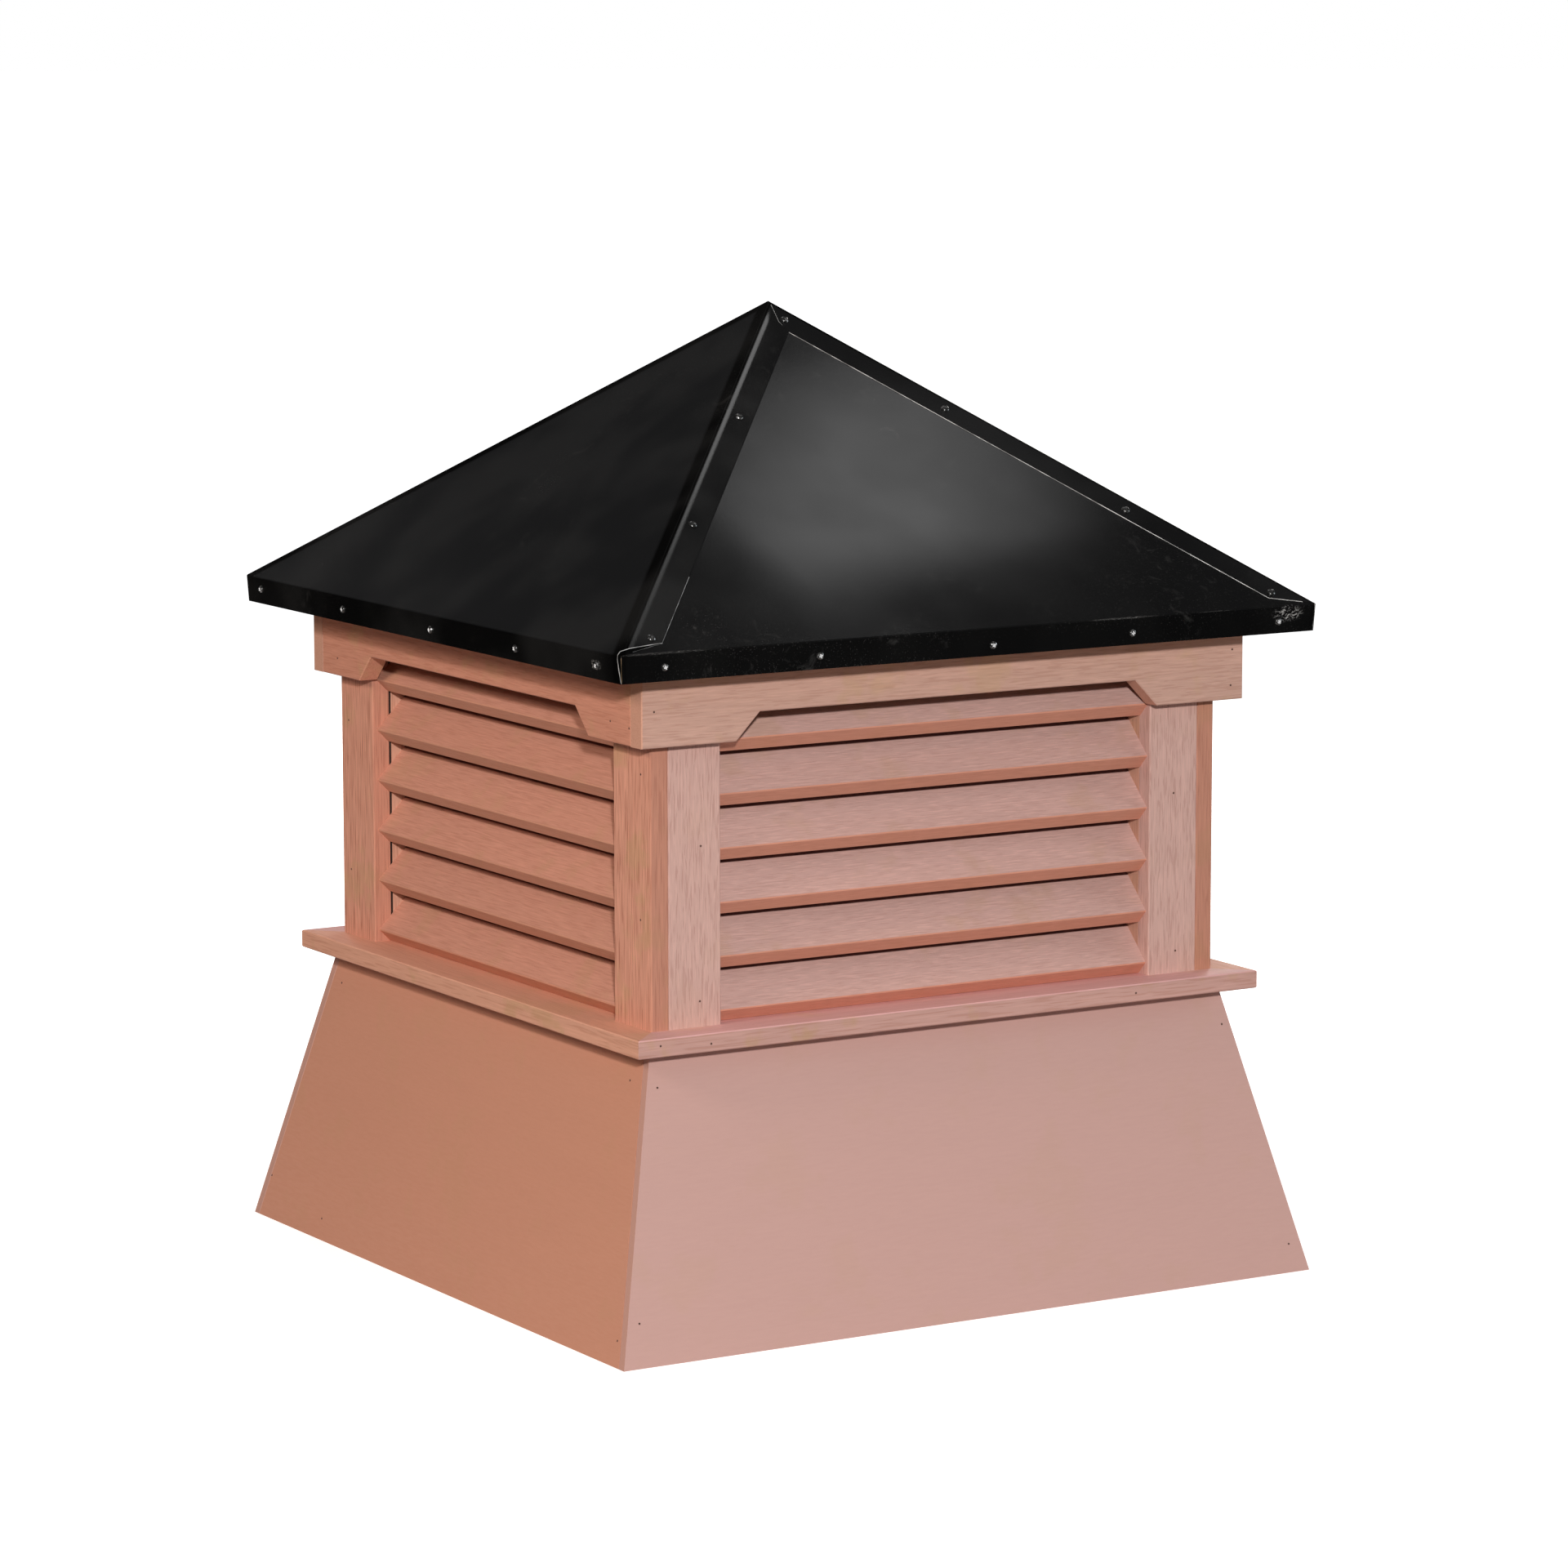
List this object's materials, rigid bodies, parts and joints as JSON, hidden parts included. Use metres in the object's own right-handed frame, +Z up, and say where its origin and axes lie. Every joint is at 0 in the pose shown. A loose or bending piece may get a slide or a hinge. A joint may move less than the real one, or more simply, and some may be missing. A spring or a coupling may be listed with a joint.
{
  "type": "louvred roof cupola",
  "caption": "Square wooden roof cupola: flared hollow base, louvred box with arched frieze, black sheet-metal hip roof.",
  "frame": {"origin": "on the ground, under the middle of the square base", "axes": "+Z up, -Y is the front, -X the left side"},
  "size_m": [0.9144, 0.9144, 1.1156],
  "materials": {
    "base_wood": "smooth stained panel",
    "trim_wood": "stained cedar, fine grain",
    "inner_wood": "bare board",
    "black_metal": "satin black"
  },
  "bodies": {
    "root": {"base_corner_block_back_left": "inner_wood", "base_corner_block_back_right": "inner_wood", "base_corner_block_front_left": "inner_wood", "base_corner_block_front_right": "inner_wood", "base_panel_back": "base_wood", "base_panel_front": "base_wood", "base_panel_left": "base_wood", "base_panel_right": "base_wood", "corner_face_board_back_left": "trim_wood", "corner_face_board_back_right": "trim_wood", "corner_face_board_front_left": "trim_wood", "corner_face_board_front_right": "trim_wood", "corner_side_board_back_left": "trim_wood", "corner_side_board_back_right": "trim_wood", "corner_side_board_front_left": "trim_wood", "corner_side_board_front_right": "trim_wood", "frieze_board_back": "trim_wood", "frieze_board_front": "trim_wood", "frieze_board_left": "trim_wood", "frieze_board_right": "trim_wood", "louvre_slats_back": "trim_wood", "louvre_slats_front": "trim_wood", "louvre_slats_left": "trim_wood", "louvre_slats_right": "trim_wood", "louvre_stiles_back": "trim_wood", "louvre_stiles_front": "trim_wood", "louvre_stiles_left": "trim_wood", "louvre_stiles_right": "trim_wood", "roof_board_back": "inner_wood", "roof_board_front": "inner_wood", "roof_board_left": "inner_wood", "roof_board_right": "inner_wood", "roof_panel_back": "black_metal", "roof_panel_front": "black_metal", "roof_panel_left": "black_metal", "roof_panel_right": "black_metal", "sill_board_back": "trim_wood", "sill_board_front": "trim_wood", "sill_board_left": "trim_wood", "sill_board_right": "trim_wood", "soffit_board_back": "inner_wood", "soffit_board_front": "inner_wood", "soffit_board_left": "inner_wood", "soffit_board_right": "inner_wood"}
  },
  "joints": []
}
